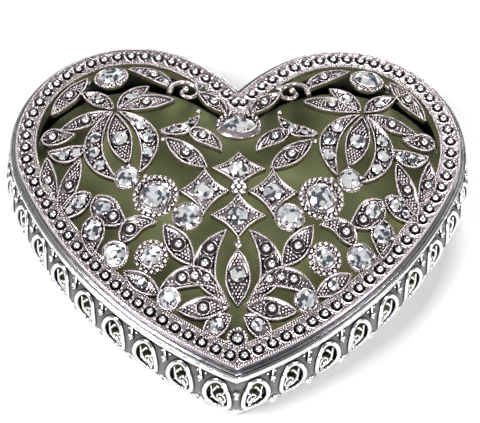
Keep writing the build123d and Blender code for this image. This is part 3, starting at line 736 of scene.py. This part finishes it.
def rosette(x, y, plate, stone):
    """A flower setting: collet, inner milgrain and a frilled edge of paired beads."""
    top = float(dome(x, y)) + SETTING_PROUD
    parts = [cup(x, y, top, [(plate - 1.2, -1.8), (plate - 0.55, -1.2), (plate - 0.5, -0.3),
                             (plate - 1.0, -0.15),
                             (stone + 0.5, 0.0), (stone + 0.3, 0.3), (stone, 0.25), (stone - 0.05, -0.1)])]
    parts.append(ring_balls(x, y, top + 0.08, stone + 0.42, 0.24, int(2 * math.pi * stone / 0.5)))
    pairs = int(2 * math.pi * (plate - 0.5) / 1.25)
    parts.append(ring_balls(x, y, top - 0.12, plate - 0.5, 0.52, pairs, BALL))
    parts.append(ring_balls(x, y, top - 0.02, plate - 1.05, 0.27, pairs, SEED, 0.5))
    parts.append(ring_balls(x, y, top - 0.3, plate - 0.12, 0.22, pairs, SEED, 0.5))
    parts.extend(add_stone("settings", x, y, top + 0.2, stone, claws=6))
    return parts


def tall_bezel(x, y, plate, stone):
    """The lobe's big stone: a flared cup over a granulated foot."""
    top = float(dome(x, y)) + SETTING_PROUD
    parts = [cup(x, y, top, [(plate * 0.75, -2.0), (plate, -0.9), (plate, -0.5), (stone + 0.1, -0.3),
                             (stone + 0.4, 0.35), (stone + 0.28, 0.5), (stone, 0.42), (stone - 0.05, 0.0)])]
    parts.append(ring_balls(x, y, top - 0.45, plate - 0.15, 0.42, int(2 * math.pi * plate / 0.95), BALL))
    parts.append(ring_balls(x, y, top - 0.1, stone + 0.35, 0.22, int(2 * math.pi * stone / 0.5)))
    parts.extend(add_stone("settings", x, y, top + 0.3, stone, claws=0))
    return parts


BUILDERS = {"rosette": rosette, "small_rosette": rosette, "lobe_bezel": tall_bezel}
for name, (x, y, plate, stone) in SETTINGS.items():
    parts = []
    for side in (1, -1):
        parts += BUILDERS.get(name, collet)(side * x, y, plate, stone)
    replaced = [name + "_settings"] + (["rosette_halos"] if name == "rosette" else [])
    make_piece(name + "_cast", parts, LID_SILVER, "lid", replaced)

top = float(dome(*OVAL)) + SETTING_PROUD
oval_profile = [(3.6, -1.8), (4.4, -0.7), (4.4, -0.3), (3.4, -0.1), (3.2, 0.3), (2.95, 0.3), (2.9, -0.1)]
oval_parts = [cup(*OVAL, top, oval_profile, stretch=(1.25, 1.0))]
turns = 2 * np.pi * np.arange(22) / 22
oval_ring = [[OVAL[0] + 4.75 * math.cos(t), OVAL[1] + 3.8 * math.sin(t), top - 0.1] for t in turns]
oval_parts.append(balls(oval_ring, 0.48))
oval_inner = [
    [OVAL[0] + 4.1 * math.cos(t + 0.14), OVAL[1] + 3.15 * math.sin(t + 0.14), top + 0.1] for t in turns
]
oval_parts.append(balls(oval_inner, 0.28, SEED))
oval_parts.extend(add_stone("settings", *OVAL, top + 0.2, 2.85, claws=0, stretch=(1.3, 1.0)))
make_piece("oval_cast", oval_parts, LID_SILVER, "lid", ["oval_setting"])

top = float(dome(*TIP_BOSS)) + SETTING_PROUD
boss = [cup(*TIP_BOSS, top, [(1.9, -1.6), (2.35, -0.7), (2.3, -0.3), (1.5, -0.25), (1.45, -0.5)])]
boss.append(ring_balls(*TIP_BOSS, top - 0.2, 1.95, 0.33, 16))
make_piece("tip_boss_cast", boss, LID_SILVER, "lid", ["tip_boss"])
make_piece("tip_boss_bead", [placed(BALL, (*TIP_BOSS, top - 0.35), (0, 0, 1), 1.15)], LID_BRIGHT, "lid",
           [])

# ---------------------------------------------------------------- lid: centre diamonds
def diamond_edge(x, y, half_width, half_height, shrink, count=10):
    """The bowed four-pointed outline, from the right point round."""
    corners = [(1, 0), (0, 1), (-1, 0), (0, -1), (1, 0)]
    line = []
    for (ax, ay), (bx, by) in zip(corners, corners[1:]):
        for i in range(count):
            t = i / count
            bow = 0.64 * t * (1 - t)
            px = ((1 - t) * ax + t * bx) * (1 - bow)
            py = ((1 - t) * ay + t * by) * (1 - bow)
            line.append((x + px * (half_width - shrink), y + py * (half_height - shrink)))
    return np.array(line)


parts = []
for x, y, half_width, half_height in DIAMONDS:
    rings = []
    for shrink, lift in ((0.0, -1.3), (0.0, 0.05), (0.14, 0.2), (0.6, 0.2), (0.8, -0.1), (2.4, -0.15)):
        edge = diamond_edge(x, y, half_width, half_height, shrink)
        rings.append(np.array([on_dome(spot, lift) for spot in edge]))
    parts.append(loft(rings))
    edge = evenly(diamond_edge(x, y, half_width, half_height, 0.38), 56)
    parts.append(balls([on_dome(spot, 0.22) for spot in edge], 0.21, SEED))
    edge = evenly(diamond_edge(x, y, half_width, half_height, 1.35), 34)
    spots = [spot for spot in edge if math.hypot(spot[0] - x, spot[1] - y) > 2.45]
    parts.append(balls([on_dome(spot, 0.0) for spot in spots], 0.3, SEED))
    parts.extend(add_stone("diamond", x, y, float(dome(x, y)), 2.2, claws=4))
parts.append(cup(*CLUSTER, float(dome(*CLUSTER)), [(1.8, -1.3), (2.0, -0.2), (1.6, 0.1), (0.3, 0.1)]))
make_piece("centre_diamonds_cast", parts, LID_SILVER, "lid", ["centre_diamonds"])
level = float(dome(*CLUSTER)) + 0.1
CLUSTER_RING = 1.28
cluster = [[CLUSTER[0] + CLUSTER_RING * math.cos(math.pi * i / 3),
            CLUSTER[1] + CLUSTER_RING * math.sin(math.pi * i / 3), level]
           for i in range(6)]
make_piece("cluster_beads_cast", [balls(cluster + [[*CLUSTER, level + 0.15]], 0.6)], LID_BRIGHT, "lid",
           ["cluster_beads"])

STONE_NODES = [name + "_stones" for name in SETTINGS] + ["oval_stone"]
make_piece("setting_stones", stone_shapes["settings"], CRYSTAL, "lid", STONE_NODES, smooth=False)
make_piece("leaf_and_petal_stones", stone_shapes["leaf"], CRYSTAL, "lid", ["leaf_stones", "petal_stones"],
           smooth=False)
make_piece("centre_stones", stone_shapes["diamond"], CRYSTAL, "lid", ["diamond_stones"],
           smooth=False)

# ---------------------------------------------------------------- lid: border
BEADS_PER_HALF = 44
BORDER_BEAD = 0.8
right_half = heart_line(0.0, (60, 110, 24))[: 60 + 110 + 24 + 1]
bead_spots = evenly(right_half, BEADS_PER_HALF, closed=False)
lengths = np.r_[0, np.cumsum(np.linalg.norm(np.diff(right_half, axis=0), axis=1))]


def half_places(count, offset, shift=0.5):
    """Even places along the right half's bead line, moved out by an offset, and their mirrors."""
    line = heart_line(offset, (60, 110, 24))[: len(right_half)]
    steps = (np.arange(count) + shift) / count * lengths[-1]
    spots = np.stack([np.interp(steps, lengths, line[:, k]) for k in range(2)], axis=1)
    return np.vstack([spots, spots * [-1, 1]])


bead_spots = half_places(BEADS_PER_HALF, 0.15)


def border_skin():
    """The border's cast body: its top is dished round every bead."""
    samples = (330, 620, 70)
    offsets = np.r_[-2.35, -2.35, np.linspace(-2.3, 2.2, 24), 2.35, 2.35, 1.4, 1.4]
    heights = np.r_[19.1, 19.95, np.full(24, 20.0), 19.85, 18.1, 18.1, 19.1]
    lines = [heart_line(offset, samples) for offset in offsets]
    tree = bead_spots
    rings = []
    for k in range(len(lines[0])):
        spots = np.array([line[k] for line in lines])
        level = heights.copy()
        for j in range(2, 26):
            near = np.min(np.hypot(tree[:, 0] - spots[j, 0], tree[:, 1] - spots[j, 1]))
            level[j] -= 0.75 * float(np.clip((1.35 - near) / 0.3, 0, 1))
        rings.append(np.column_stack([spots, level]))
    return loft(rings, closed_along=True)


border = [border_skin()]
border.append(balls([[*s, 20.02] for s in half_places(260, 2.05)], 0.26, SEED))
border.append(balls([[*s, 20.02] for s in half_places(250, -2.08)], 0.26, SEED))
border.append(balls([[*s, 20.0] for s in half_places(BEADS_PER_HALF, 0.95, 0.0)], 0.42, SEED))
border.append(balls([[*s, 20.0] for s in half_places(BEADS_PER_HALF, -0.1, 0.0)], 0.3, SEED))
border.append(balls([[*s, 19.98] for s in half_places(250, -1.62)], 0.22, SEED))
border.append(balls([[*s, 19.98] for s in half_places(BEADS_PER_HALF * 2, -1.15, 0.25)], 0.3, SEED))
border.append(balls([[*s, 19.98] for s in half_places(BEADS_PER_HALF * 2, 1.55, 0.25)], 0.24, SEED))
make_piece("lid_border_cast", border, LID_SILVER, "lid", ["lid_border"])
LIP = [(2.2, 18.12), (2.36, 18.12), (2.43, 18.3), (2.43, 19.6), (2.36, 19.8), (2.2, 19.8)]
make_piece("lid_lip", [heart_band(LIP, (60, 110, 20))], LIP_SILVER, "lid", [])
make_piece("border_beads_cast", [balls([[*s, 19.9] for s in bead_spots], BORDER_BEAD)], LID_BRIGHT, "lid",
           ["border_beads"])

# ---------------------------------------------------------------- base: rings and scrolls of the wall
RING_MIDDLE = 9.6
RING_HALF_WIDTH, RING_HALF_HEIGHT = 2.95, 4.75
RING_BAND = 0.5
RING_LEAN = 0.35
HINGE_HALF_CLEAR = 6.2  # no beads stand within this of a hinge's middle


def wall_offset(height, proud):
    """Offset and height of a point that stands proud of the bulging wall."""
    tilt = math.asin((height - WALL_MIDDLE) / WALL_ARC)
    reach = WALL_ARC + proud
    return WALL_BULGE - WALL_ARC + reach * math.cos(tilt), WALL_MIDDLE + reach * math.sin(tilt)


def stations(between):
    """Arc centre, radius, bearing and side of each window, or of each place between two."""
    places = []
    for (center, radius, first, last), count in zip(half_arcs(WALL_BULGE), WINDOW_COUNTS):
        pitch = (last - first) / count
        shift = 1.0 if between else 0.5
        places += [(center, radius, first + (i + shift) * pitch) for i in range(count)]
    if between:
        places = places[:-1]
    return [(*place, side) for place in places for side in (1, -1)]


def on_wall(station, along, height, proud):
    """A place on the wall: along it from the station, up it, and proud of it."""
    center, radius, bearing, side = station
    offset, level = wall_offset(height, proud)
    turn = bearing + math.degrees(along / radius)
    spot = center + toward(turn) * (radius - WALL_BULGE + offset)
    return np.array([side * spot[0], spot[1], level])


def wall_band(station, path, half_width, thick, proud, closed):
    """A flat wire along a path of (along, up) points, lying on the wall."""
    path = np.array(path, float)
    widths = np.broadcast_to(half_width, (len(path),))
    ahead, behind = np.roll(path, -1, axis=0), np.roll(path, 1, axis=0)
    if not closed:
        ahead[-1], behind[0] = path[-1], path[0]
    run = ahead - behind
    run /= np.linalg.norm(run, axis=1)[:, None]
    across = np.stack([-run[:, 1], run[:, 0]], axis=1)
    rings = []
    for spot, side, width in zip(path, across, widths):
        row = []
        for share, lift in ((1, 0), (1, 0.55), (0.7, 0.95), (0, 1.08), (-0.7, 0.95), (-1, 0.55), (-1, 0)):
            here = spot + side * share * width
            row.append(on_wall(station, here[0], here[1], proud + lift * thick))
        rings.append(np.array(row))
    return loft(rings, closed_along=closed)


SCROLL = [(1.9, 2.7), (1.5, 1.3), (1.3, -0.3), (0.5, -1.9), (-0.9, -2.3), (-1.8, -1.3), (-1.7, 0.2),
          (-0.7, 0.9), (0.1, 0.2), (-0.2, -0.8)]
BRANCHES = [[(0.9, -1.4), (1.7, -2.2), (1.9, -3.4)], [(1.5, 0.6), (0.9, 1.9), (0.5, 3.2)],
            [(-1.0, 0.9), (-1.4, 2.0), (-0.9, 3.3)], [(-1.3, -2.0), (-1.2, -2.9), (-0.5, -3.7)]]
TIPS = [(-0.75, -0.5, 0.55), (-1.35, -3.1, 0.5), (0.3, 3.0, 0.4), (-0.7, 3.4, 0.35)]

turns = 2 * np.pi * np.arange(44) / 44
wall_rings, wall_scrolls, wall_twigs, low_row, upper_beads, lower_beads = [], [], [], [], [], []
for station in stations(False):
    ring = [(RING_HALF_WIDTH * math.cos(t) + RING_LEAN * math.sin(t),
             RING_MIDDLE + RING_HALF_HEIGHT * math.sin(t)) for t in turns]
    wall_rings.append(wall_band(station, ring, RING_BAND, 0.6, -0.1, True))
    swell = np.interp(np.linspace(0, 1, 40), [0, 0.15, 0.45, 1], [0.12, 0.3, 0.38, 0.2])
    path = smooth_path([(a, RING_MIDDLE + b) for a, b in SCROLL])
    wall_scrolls.append(wall_band(station, path, swell, 0.65, -0.75, False))
    for branch in BRANCHES:
        path = smooth_path([(a, RING_MIDDLE + b) for a, b in branch], 10)
        taper = np.interp(np.linspace(0, 1, 10), [0, 0.5, 1], [0.18, 0.3, 0.1])
        wall_scrolls.append(wall_band(station, path, taper, 0.55, -0.75, False))
    for a, b, size in TIPS:
        wall_scrolls.append(balls([on_wall(station, a, RING_MIDDLE + b, -0.3)], size, SEED))
    # the arch that stands under each ring
    arch = [(2.1 * math.cos(t), 2.75 + 1.5 * math.sin(t)) for t in np.linspace(0, math.pi, 16)]
    low_row.append(wall_band(station, arch, 0.34, 0.55, 0.0, False))
    low_row.append(balls([on_wall(station, 0, 2.9, 0.25)], 0.5, SEED))
    foot = [(a, 2.35) for a in np.linspace(-2.3, 2.3, 8)]
    low_row.append(wall_band(station, foot, 0.3, 0.6, 0.05, False))

for station in stations(True):
    upper = on_wall(station, 0, 14.2, 0.1)
    hinge = abs(abs(upper[0]) - LOBE_X) < HINGE_HALF_CLEAR and upper[1] > LOBE_Y + 10
    if not hinge:
        upper_beads.append(balls([on_wall(station, 0, 13.6, 0.3)], 0.62, SEED))
        for a, b, size in ((-0.95, 14.7, 0.34), (0.95, 14.7, 0.34), (0, 12.5, 0.3)):
            upper_beads.append(balls([on_wall(station, a, b, 0.1)], size, SEED))
        twig = smooth_path([(-0.5, 12.9), (0.1, 14.2), (0.8, 15.5)], 8)
        wall_twigs.append(wall_band(station, twig, 0.26, 0.4, 0.0, False))
    center = on_wall(station, 0, 3.6, 0.12)
    lower_beads.append(balls([center], 1.05))
    collar = [(0.95 * math.cos(t), 4.75 + 0.45 * math.sin(t)) for t in turns[::4]]
    lower_beads.append(wall_band(station, collar, 0.24, 0.5, -0.1, True))
    for a, b, size in ((-0.6, 5.6, 0.36), (0.6, 5.6, 0.36), (0, 6.3, 0.34), (0, 2.1, 0.42)):
        lower_beads.append(balls([on_wall(station, a, b, 0.12)], size, SEED))

# the corner at the tip: a stack of balls on a collar
tip_bearing = half_arcs(WALL_BULGE)[0][2]
tip_y = {
    height: float((SIDE_CENTER + toward(tip_bearing) * (SIDE_RADIUS + wall_offset(height, 0)[0]))[1])
    for height in (3, 6, 12)
}
tip_stack = [((0, tip_y[12] + 0.25, 13.2), 0.62), ((0, tip_y[12] - 0.05, 11.9), 0.5),
             ((0, tip_y[6] + 0.65, 5.9), 0.75),
             ((0, tip_y[3] + 0.95, 3.9), 1.2), ((0, tip_y[3] + 0.65, 2.1), 0.6)]
lower_beads.append(balls([spot for spot, _ in tip_stack], [size for _, size in tip_stack]))

make_piece("wall_rings", wall_rings, BASE_SILVER, "base", [])
make_piece("wall_scrolls", wall_scrolls + wall_twigs, BASE_SILVER, "base", ["scrolls_left", "scrolls_right"])
make_piece("wall_low_arches", low_row, BASE_SILVER, "base", [])
make_piece("upper_beads", upper_beads, BASE_SILVER, "base", ["upper_balls"])
make_piece("lower_beads", lower_beads, BASE_SILVER, "base", ["lower_balls"])

# fine wires along the rim, broken where the hinges pass
reeds = []
for offset, radius in ((2.95, 0.16), (3.72, 0.24)):
    line = heart_line(offset, (60, 110, 20))
    open_run = []
    for spot in np.vstack([line, line]):
        at_hinge = abs(abs(spot[0]) - LOBE_X) < 2.3 and spot[1] > LOBE_Y
        if not at_hinge:
            open_run.append(spot)
        elif len(open_run) > 8:
            reeds.append(tube([[*point, RIM_TOP + 0.02] for point in open_run], radius, sides=8))
            open_run = []
        else:
            open_run = []
make_piece("rim_reeds", reeds, RIM_SILVER, "base", [])

# ---------------------------------------------------------------- base: velvet pad
PAD_EDGE, PAD_FOOT, PAD_HEIGHT = 2.0, 2.05, 5.0


def pad_mesh():
    """A low heart-shaped block, a little smaller than its place, for the cloth to swell."""
    rings = []
    for offset, height in ((PAD_EDGE, PAD_FOOT), (PAD_EDGE, 4.0), (PAD_EDGE - 1.2, PAD_HEIGHT)):
        rings.append(np.array([[*spot, height] for spot in heart_line(offset)]))
    return loft(rings)


def fill_pad(pad):
    """Voxel remesh, inflate with the cloth solver, then keep the result within its place."""
    scene = bpy.context.scene
    bpy.context.view_layer.objects.active = pad
    remesh = pad.modifiers.new("remesh", "REMESH")
    remesh.mode = "VOXEL"
    remesh.voxel_size = 1.3 * MM
    bpy.ops.object.modifier_apply(modifier=remesh.name)
    start = np.array([v.co for v in pad.data.vertices])
    group = pad.vertex_groups.new(name="seat")
    group.add([i for i, co in enumerate(start) if co[2] < 2.6 * MM], 1.0, "REPLACE")
    cloth = pad.modifiers.new("cloth", "CLOTH")
    cloth.settings.use_pressure = True
    cloth.settings.uniform_pressure_force = 4.0
    cloth.settings.vertex_group_mass = group.name
    cloth.settings.effector_weights.gravity = 0.0
    for number in range(1, 21):
        scene.frame_set(number)
    bpy.ops.object.modifier_apply(modifier=cloth.name)
    scene.frame_set(1)
    moved = np.array([v.co for v in pad.data.vertices])
    shift = moved - start
    size = np.linalg.norm(shift, axis=1)
    shift *= np.minimum(1, 0.8 * MM / np.maximum(size, 1e-9))[:, None]
    return start + shift


def finish_pad(pad, points):
    """Soft dimples and folds over the pad, held inside the room that the CAD pad has."""
    x, y, z = (points / MM).T
    crown = np.clip(inset(x, y) / 14, 0, 1)
    folds = 0.34 * np.sin(0.27 * x + 0.9 * np.sin(0.11 * y + 1.3)) + 0.22 * np.sin(0.43 * y - 0.21 * x + 2.0)
    top = z > 3.4
    z = np.where(top, z + (folds * 0.9 - 0.1) * (0.35 + 0.65 * crown), z)
    z = np.clip(z, PAD_FOOT, 5.38)
    pad.data.vertices.foreach_set("co", (np.stack([x, y, z], axis=1) * MM).ravel())
    pad.data.update()
    bpy.context.view_layer.objects.active = pad
    for kind, levels in (("SMOOTH", 0), ("SUBSURF", 1)):
        modifier = pad.modifiers.new(kind.lower(), kind)
        if levels:
            modifier.levels = modifier.render_levels = levels
        bpy.ops.object.modifier_apply(modifier=modifier.name)
    pad.data.polygons.foreach_set("use_smooth", [True] * len(pad.data.polygons))


pad = make_piece("velvet_cushion", [pad_mesh()], VELVET, "base")
pad_points = fill_pad(pad)
finish_pad(pad, pad_points)
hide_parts("velvet_pad")

# ---------------------------------------------------------------- materials of the CAD nodes that stay
# Card and hinge steel also go through the occlusion ramp, so their hollows get painted shade.
CARD = recess_silver("grey_card", (0.3, 0.3, 0.3), (0.2, 0.2, 0.2), 0.6, 0.5, 0.1, 0.6, 0.0, 0.0)
CARD.node_tree.nodes["Principled BSDF"].inputs["Metallic"].default_value = 0.0
PIN_STEEL = recess_silver("hinge_steel", (0.7, 0.7, 0.7), (0.2, 0.2, 0.2), 0.25, 0.5, 0.1, 0.5, 0.0, 0.0)
KEPT = {
    "floor_plate": BASE_SILVER, "pad_card": CARD, "foot_band": BASE_SILVER, "top_rim": RIM_SILVER,
    "wall_left": WALL_GROUND_SHADE_AND_PATINA, "wall_right": WALL_GROUND_SHADE_AND_PATINA,
    "base_hinge_leaf_left": BASE_SILVER, "base_hinge_leaf_right": BASE_SILVER,
    "hinge_pin_left": PIN_STEEL, "hinge_pin_right": PIN_STEEL,
    "lid_hinge_leaf_left": LID_SMOOTH, "lid_hinge_leaf_right": LID_SMOOTH, "locating_lip": LID_SMOOTH,
}
for name, material in KEPT.items():
    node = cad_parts[name]
    node.data.materials.clear()
    node.data.materials.append(material)

# ---------------------------------------------------------------- floor, light and camera
floor_mesh = bpy.data.meshes.new("studio_floor")
FLOOR_HALF = 1.5
floor_mesh.from_pydata([(-FLOOR_HALF, -FLOOR_HALF, 0), (FLOOR_HALF, -FLOOR_HALF, 0),
                        (FLOOR_HALF, FLOOR_HALF, 0), (-FLOOR_HALF, FLOOR_HALF, 0)], [], [(0, 1, 2, 3)])
floor = bpy.data.objects.new("studio_floor", floor_mesh)
bpy.context.scene.collection.objects.link(floor)
floor_material, _, _, floor_shader = new_material("pale_floor")
floor_shader.inputs["Base Color"].default_value = (0.8, 0.8, 0.8, 1)
floor_shader.inputs["Roughness"].default_value = 0.9
floor_mesh.materials.append(floor_material)


def area_light(name, place, size, power, color=(1, 1, 1)):
    light = bpy.data.lights.new(name, "AREA")
    light.energy = power
    light.size = size
    light.color = color
    lamp = bpy.data.objects.new(name, light)
    lamp.location = place
    lamp.rotation_euler = (Vector((0, 0, 0.01)) - Vector(place)).to_track_quat("-Z", "Y").to_euler()
    bpy.context.scene.collection.objects.link(lamp)


area_light("key_left", (-0.35, -0.15, 0.45), 0.2, 3.1)
area_light("key_back", (0.15, 0.5, 0.35), 0.22, 3.1)
area_light("fill_right", (0.45, -0.2, 0.3), 0.16, 1.5)
area_light("front_low", (0.05, -0.5, 0.18), 0.2, 1.7)

world = bpy.data.worlds.new("studio_world")
bpy.context.scene.world = world
world.use_nodes = True
world_nodes, world_links = world.node_tree.nodes, world.node_tree.links
heading = world_nodes.new("ShaderNodeTexCoord")
split = world_nodes.new("ShaderNodeSeparateXYZ")
bands = world_nodes.new("ShaderNodeValToRGB")
bands.color_ramp.interpolation = "EASE"
bands.color_ramp.elements[0].color = (0.6, 0.6, 0.6, 1)
bands.color_ramp.elements[1].color = (0.34, 0.35, 0.37, 1)
for position, level in ((0.2, 0.1), (0.42, 0.5), (0.6, 0.1), (0.82, 0.45)):
    stop = bands.color_ramp.elements.new(position)
    stop.color = (level, level, level * 1.03, 1)
world_links.new(heading.outputs["Generated"], split.inputs[0])
world_links.new(split.outputs["Z"], bands.inputs["Fac"])
world_links.new(bands.outputs["Color"], world_nodes["Background"].inputs["Color"])
world_nodes["Background"].inputs["Strength"].default_value = 0.75
bpy.context.scene.view_settings.view_transform = "Standard"

CAMERA_AZIMUTH, CAMERA_ELEVATION, CAMERA_ROLL = math.radians(-1.35), math.radians(58.7), math.radians(1.9)
CAMERA_DISTANCE = 272.0
CAMERA_TARGET = (0.5, -0.6, 14.0)
camera_data = bpy.data.cameras.new("camera")
camera_data.lens = 90.0
camera_data.sensor_width = 36.0
camera = bpy.data.objects.new("camera", camera_data)
back = Vector((math.sin(CAMERA_AZIMUTH) * math.cos(CAMERA_ELEVATION),
               -math.cos(CAMERA_AZIMUTH) * math.cos(CAMERA_ELEVATION), math.sin(CAMERA_ELEVATION)))
camera.location = (Vector(CAMERA_TARGET) + back * CAMERA_DISTANCE) * MM
camera.rotation_euler = ((-back).to_track_quat("-Z", "Y") @ Quaternion((0, 0, 1), CAMERA_ROLL)).to_euler()
camera_data.clip_start, camera_data.clip_end = 0.01, 10.0
bpy.context.scene.collection.objects.link(camera)
bpy.context.scene.camera = camera
